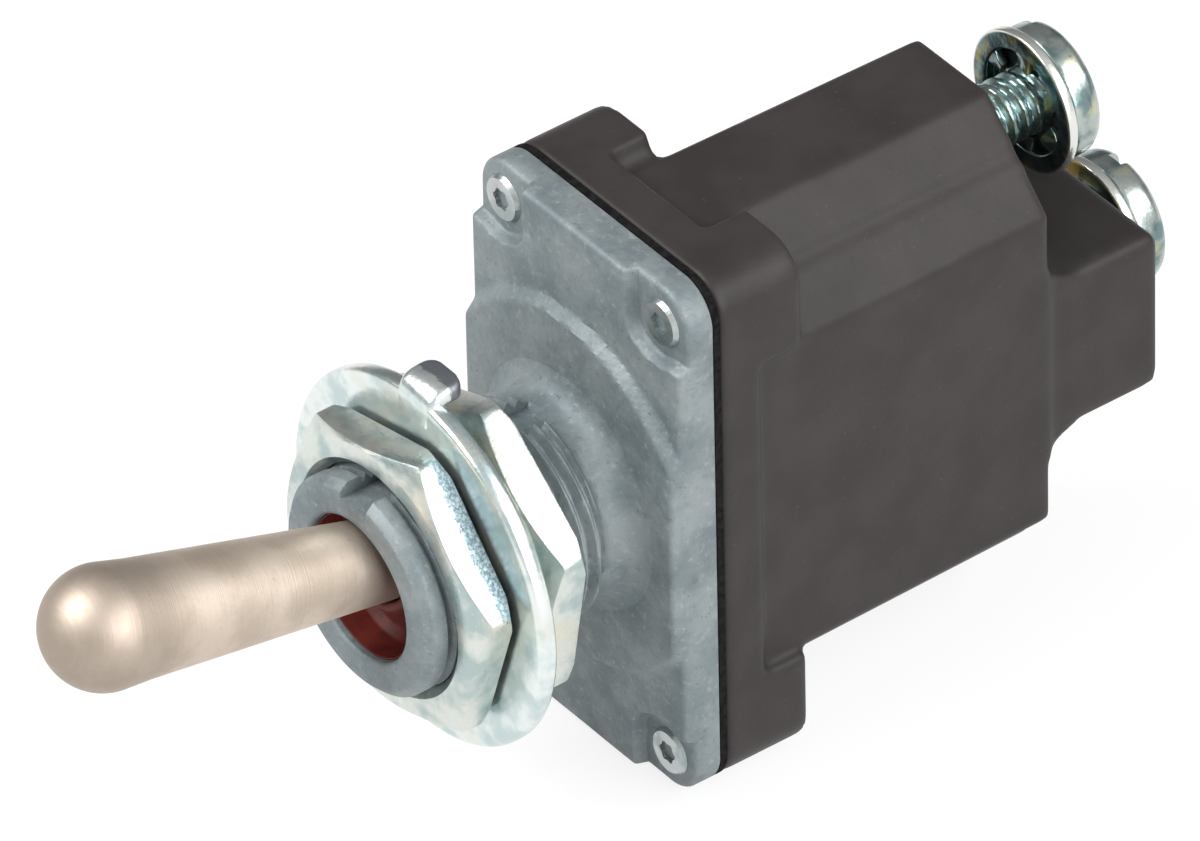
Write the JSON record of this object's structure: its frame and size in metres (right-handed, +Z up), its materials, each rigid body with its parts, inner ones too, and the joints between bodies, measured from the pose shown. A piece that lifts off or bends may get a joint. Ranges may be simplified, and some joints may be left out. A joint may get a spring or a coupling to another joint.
{
  "type": "panel toggle switch",
  "caption": "Panel-mounting two-way toggle switch with a metal bat lever, threaded bushing, moulded housing and two screw terminals.",
  "frame": {"origin": "where the bushing's axis meets the mounting face, which is the front of the cover plate's round boss", "axes": "+Z up along the housing's long side towards the lever's rest side, +Y from the panel into the housing, so the bushing points along -Y, +X to the right seen from the front"},
  "size_m": [0.0202, 0.0665, 0.031],
  "materials": {
    "die_cast_zinc": "satin",
    "zinc_plated_steel": "satin",
    "terminal_plating": "gloss",
    "satin_nickel": "satin",
    "brown_phenolic": "satin",
    "black_gasket": "matte",
    "red_rubber": "matte",
    "brass": "satin",
    "contact_silver": "satin",
    "nylon": "satin",
    "spring_steel": "satin"
  },
  "bodies": {
    "base": {"housing": "brown_phenolic", "cover_plate": "die_cast_zinc", "gasket": "black_gasket", "cover_rivets": "zinc_plated_steel", "boot_seal": "red_rubber", "pivot_pin": "spring_steel", "common_terminal": "brass", "rocker_pin": "spring_steel", "top_terminal": "brass", "fixed_contacts": "contact_silver", "front_nut": "zinc_plated_steel", "key_ring": "zinc_plated_steel", "star_washer": "zinc_plated_steel", "rear_nut": "zinc_plated_steel"},
    "lever": {"toggle_lever": "satin_nickel", "plunger_spring": "spring_steel"},
    "plunger": {"plunger": "nylon"},
    "rocker": {"rocker": "brass", "rocker_contacts": "contact_silver"},
    "top_washer": {"top_screw_washer": "terminal_plating"},
    "top_screw": {"top_screw": "terminal_plating"},
    "middle_washer": {"middle_screw_washer": "terminal_plating"},
    "middle_screw": {"middle_screw": "terminal_plating"}
  },
  "joints": [
    {"name": "toggle", "type": "hinge", "parent": "base", "child": "lever", "pos_m": [0, -0.0068, 0], "axis": [1, 0, 0], "range_deg": [0, 27.8], "deforming": ["boot_seal"]},
    {"name": "plunger_stroke", "type": "slide", "parent": "lever", "child": "plunger", "axis": [0, 0.9707, -0.2402], "range_m": [-0.001, 0], "stiffness_N_per_m": 600, "deforming": ["plunger_spring"]},
    {"name": "rocker_tilt", "type": "hinge", "parent": "base", "child": "rocker", "pos_m": [0, 0.011, 0], "axis": [1, 0, 0], "range_deg": [-13.9, 0]},
    {"name": "top_screw_advance", "type": "slide", "parent": "base", "child": "top_washer", "axis": [0, -1, 0], "range_m": [0, 0.0038]},
    {"name": "top_screw_turn", "type": "hinge", "parent": "top_washer", "child": "top_screw", "pos_m": [0, 0.0243, 0.01], "axis": [0, -1, 0], "range_deg": [0, 1723.5]},
    {"name": "middle_screw_advance", "type": "slide", "parent": "base", "child": "middle_washer", "axis": [0, -1, 0], "range_m": [0, 0.00085]},
    {"name": "middle_screw_turn", "type": "hinge", "parent": "middle_washer", "child": "middle_screw", "pos_m": [0, 0.0314, 0], "axis": [0, -1, 0], "range_deg": [0, 385.6]}
  ],
  "couplings": [
    {"joint": "rocker_tilt", "follows": "toggle", "ratio": -0.5},
    {"joint": "top_screw_turn", "follows": "top_screw_advance", "rad_per_m": 7915.8},
    {"joint": "middle_screw_turn", "follows": "middle_screw_advance", "rad_per_m": 7915.8}
  ]
}
